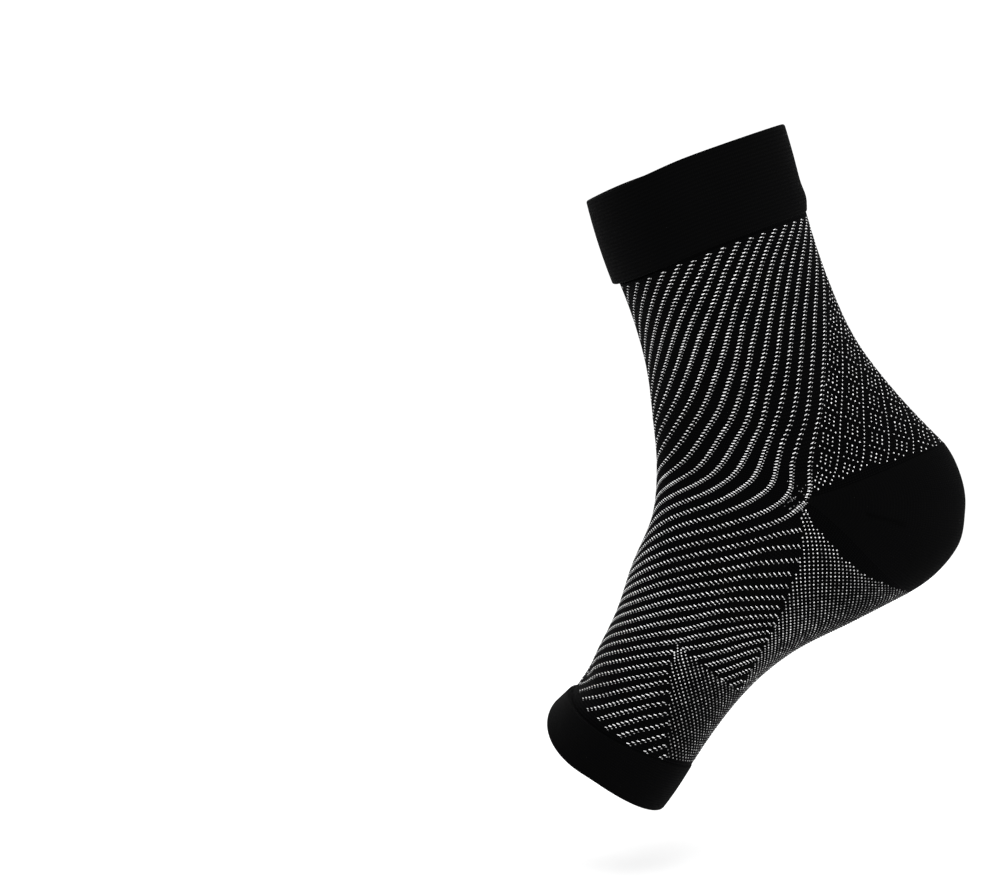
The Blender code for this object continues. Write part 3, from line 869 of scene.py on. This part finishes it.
def dotGroup(cloth, row, share, size, shade, seed):
    # size * (1 + spread * draw) and shade + spread * draw for each dot
    chance = np.random.default_rng(seed)
    centre, course, wale, normal = onCloth(cloth, row, share)
    scatter = chance.normal(0, 1, (len(row), 2))
    sizes = np.array(size)[None, :] * (1 + dotSpread["size"] * scatter[:, :1])
    shades = np.clip(shade + dotSpread["shade"] * scatter[:, 1], dotSpread["leastShade"], 1)
    return [(centre, course, wale, normal, sizes, shades)]


def checkerDots(firstCourse, lastCourse):
    # every second stitch of every course, where course + wale is even
    wales = np.arange(knit["archWales"] // 2 + 1)
    course, wale = np.meshgrid(np.arange(firstCourse, lastCourse), wales, indexing="ij")
    keep = (course + wale) % 2 == 0
    return rowOfCourse(course[keep] + 0.5), wale[keep] / knit["archWales"]


# Where the dots stop above and below the heel pocket, as rows from the heel row at a few shares
heelEdge = {
    "shares": [0.25, 0.275, 0.30, 0.33, 0.355, 0.38, 0.41, 0.45],
    "above": [0.004, 0.020, 0.034, 0.042, 0.032, 0.018, 0.008, 0.005],
    "below": [0.015, 0.054, 0.069, 0.074, 0.071, 0.057, 0.030, 0.006],
}

# Achilles mesh, counted on a lattice of diagonal steps: m down along the stripes, n down across them.
# Each block of five by five holds one full line, a square of nine and a rung of four.
achilles = {
    "row": 0.4712, "share": 0.4055,    # where the middle of the first square lies
    "rowStep": 0.0147, "rowTighter": 0.000037,
    "shareStep": 0.00479, "shareDrift": 0.00045, "shareWider": 0.0000176,
    "block": 5, "middle": (1, 2.6),    # steps from block to block, and the middle of a square
    "stripeSide": -2.1,                # steps across from there to the stripes
    "firstRow": 0.01,
}
achillesMotif = [(0, 0), (1, 0), (2, 0), (3, 0), (4, 0),
                 (0, 1.6), (1, 1.6), (2, 1.6), (0, 2.6), (1, 2.6), (2, 2.6), (0, 3.6), (1, 3.6), (2, 3.6),
                 (3.45, 1.1), (3.45, 2.1), (3.45, 3.1), (3.45, 4.1)]


def achillesDots():
    # row = first + step (m + n) - tighter (m + n)^2,
    # share = first + step (n - m) + wider (n - m)^2 + drift (m + n)
    motif = np.array(achillesMotif) - achilles["middle"]
    blocks = np.stack(np.meshgrid(np.arange(-16, 16), np.arange(0, 12), indexing="ij"), -1)
    block = achilles["block"] * blocks.reshape(-1, 2)
    m, n = (block[:, None, :] + motif[None, :, :]).reshape(-1, 2).T
    down, over = m + n, n - m
    row = achilles["row"] + achilles["rowStep"] * down - achilles["rowTighter"] * np.maximum(down, 0) ** 2
    share = (achilles["share"] + achilles["shareStep"] * over + achilles["shareWider"] * over ** 2
             + achilles["shareDrift"] * down)
    aboveHeel = row < 1 - np.interp(share, heelEdge["shares"], heelEdge["above"])
    inside = ((row > achilles["firstRow"]) & aboveHeel & (n > achilles["stripeSide"])
              & (share > knit["heelCorner"]) & (share < 0.5))
    return bothSides(row[inside], share[inside])


dotSize = {"achilles": (0.00053, 0.00066, 0.00028), "arch": (0.00063, 0.00060, 0.00026),
           "ball": (0.00062, 0.00058, 0.00026)}
dotSeed = {"achilles": 13, "arch": 14, "ball": 15}
dotShade = 0.78   # of the achilles mesh, while the arch and ball dots get painted shade, darker towards the sole
# painted shade of the arch and ball dots: their shade value at a few shares, darker towards the sole
paintedSoleShade = {"shares": [0.25, 0.29, 0.34, 0.42],
             "arch": [0.86, 0.74, 0.48, 0.12], "ball": [0.70, 0.26, 0.16, 0.08]}


def paintedSoleShadeAt(part, share):
    # painted shade on the dots, darker towards the sole that faces away from the lamps: straight lines
    # between the shades at a few shares
    shade = np.interp(share, paintedSoleShade["shares"], paintedSoleShade[part])
    return np.concatenate((shade, shade))   # for the inner and the outer side


cornerGroups = []
for part, cloth in (("leg", legMap), ("foot", footMap)):
    cornerGroups += dotGroup(cloth, *cornerDots(part), cornerEnds["size"], cornerEnds["shade"],
                             cornerEnds["lookSeed"][part])
cornerStitches = stitches("striped_sleeve_corner_ends", cornerGroups, whiteStitch)
finishPiece(cornerStitches, "striped_knit")

dotRow, dotShare = achillesDots()
achillesStitches = stitches("achilles_mesh_dots",
                            dotGroup(legMap, dotRow, dotShare, dotSize["achilles"],
                                     dotShade, dotSeed["achilles"]), whiteDot)
finishPiece(achillesStitches, "achilles_mesh_knit")

dotRow, dotShare = checkerDots(heelCourse, lastCourse)
belowHeel = dotRow > 1 + np.interp(dotShare, heelEdge["shares"], heelEdge["below"])
keep = (dotShare > archDotStart(dotRow)) & (dotRow < ballTop(dotShare)) & belowHeel
archStitches = stitches("arch_mesh_dots",
                        dotGroup(footMap, *bothSides(dotRow[keep], dotShare[keep]), dotSize["arch"],
                                 paintedSoleShadeAt("arch", dotShare[keep]), dotSeed["arch"]), whiteDot)
finishPiece(archStitches, "arch_mesh_knit")

keep = (dotShare > ballStripeEnd(dotRow)) & (dotRow >= ballTop(dotShare)) & (dotRow < knit["lastDotRow"])
ballStitches = stitches("ball_mesh_dots",
                        dotGroup(footMap, *bothSides(dotRow[keep], dotShare[keep]), dotSize["ball"],
                                 paintedSoleShadeAt("ball", dotShare[keep]), dotSeed["ball"]), whiteDot)
finishPiece(ballStitches, "ball_mesh_knit")
print("stitches done")


# Floor, light and camera

studio = {
    "floorHeight": -0.1485, "floorSize": 6.0, "floorWhite": 0.96, "floorRoughness": 0.9,
    "cameraPlace": (-0.27581, -0.70419, 0.00817),
    "cameraAim": (-0.09437, 0.02353, 0.00817),
    "lens": 71.06, "sensor": 36,
    "worldLight": 1.08,
    "lamps": [
        # name, place, size, power
        ("keyLight", (-0.9, -1.3, 1.2), 1.2, 16.0),
        ("fillLight", (1.2, -0.8, 0.6), 1.2, 7.0),
        ("backLight", (0.5, 1.4, 1.1), 1.2, 10.0),
    ],
}


def paleFloor():
    # one square, half a size to each side
    half = studio["floorSize"] / 2
    corners = np.array([(-half, -half), (half, -half), (half, half), (-half, half)])
    points = np.column_stack((corners, np.full(4, studio["floorHeight"])))
    material = bpy.data.materials.new("paleFloor")
    material.use_nodes = True
    shader = material.node_tree.nodes["Principled BSDF"]
    shader.inputs["Base Color"].default_value = (*[studio["floorWhite"]] * 3, 1)
    shader.inputs["Roughness"].default_value = studio["floorRoughness"]
    floor = meshPiece("floor", points, np.array([[0, 1, 2, 3]]), None, material)


def studioLight():
    # white world, and area lamps that face the origin
    world = bpy.data.worlds.new("studio")
    world.use_nodes = True
    backdrop = world.node_tree.nodes["Background"]
    backdrop.inputs[0].default_value = (1, 1, 1, 1)
    backdrop.inputs[1].default_value = studio["worldLight"]
    bpy.context.scene.world = world
    for name, place, size, power in studio["lamps"]:
        lamp = bpy.data.lights.new(name, "AREA")
        lamp.size = size
        lamp.energy = power
        body = bpy.data.objects.new(name, lamp)
        body.location = place
        body.rotation_euler = Vector(place).to_track_quat("Z", "Y").to_euler()
        bpy.context.scene.collection.objects.link(body)


def photoCamera():
    # looks along aim - place
    camera = bpy.data.cameras.new("camera")
    camera.lens = studio["lens"]
    camera.sensor_width = studio["sensor"]
    camera.clip_start = 0.01
    body = bpy.data.objects.new("camera", camera)
    body.location = studio["cameraPlace"]
    look = Vector(studio["cameraAim"]) - Vector(studio["cameraPlace"])
    body.rotation_euler = look.to_track_quat("-Z", "Y").to_euler()
    bpy.context.scene.collection.objects.link(body)
    bpy.context.scene.camera = body


bpy.context.scene.view_settings.view_transform = "Standard"
paleFloor()
studioLight()
photoCamera()
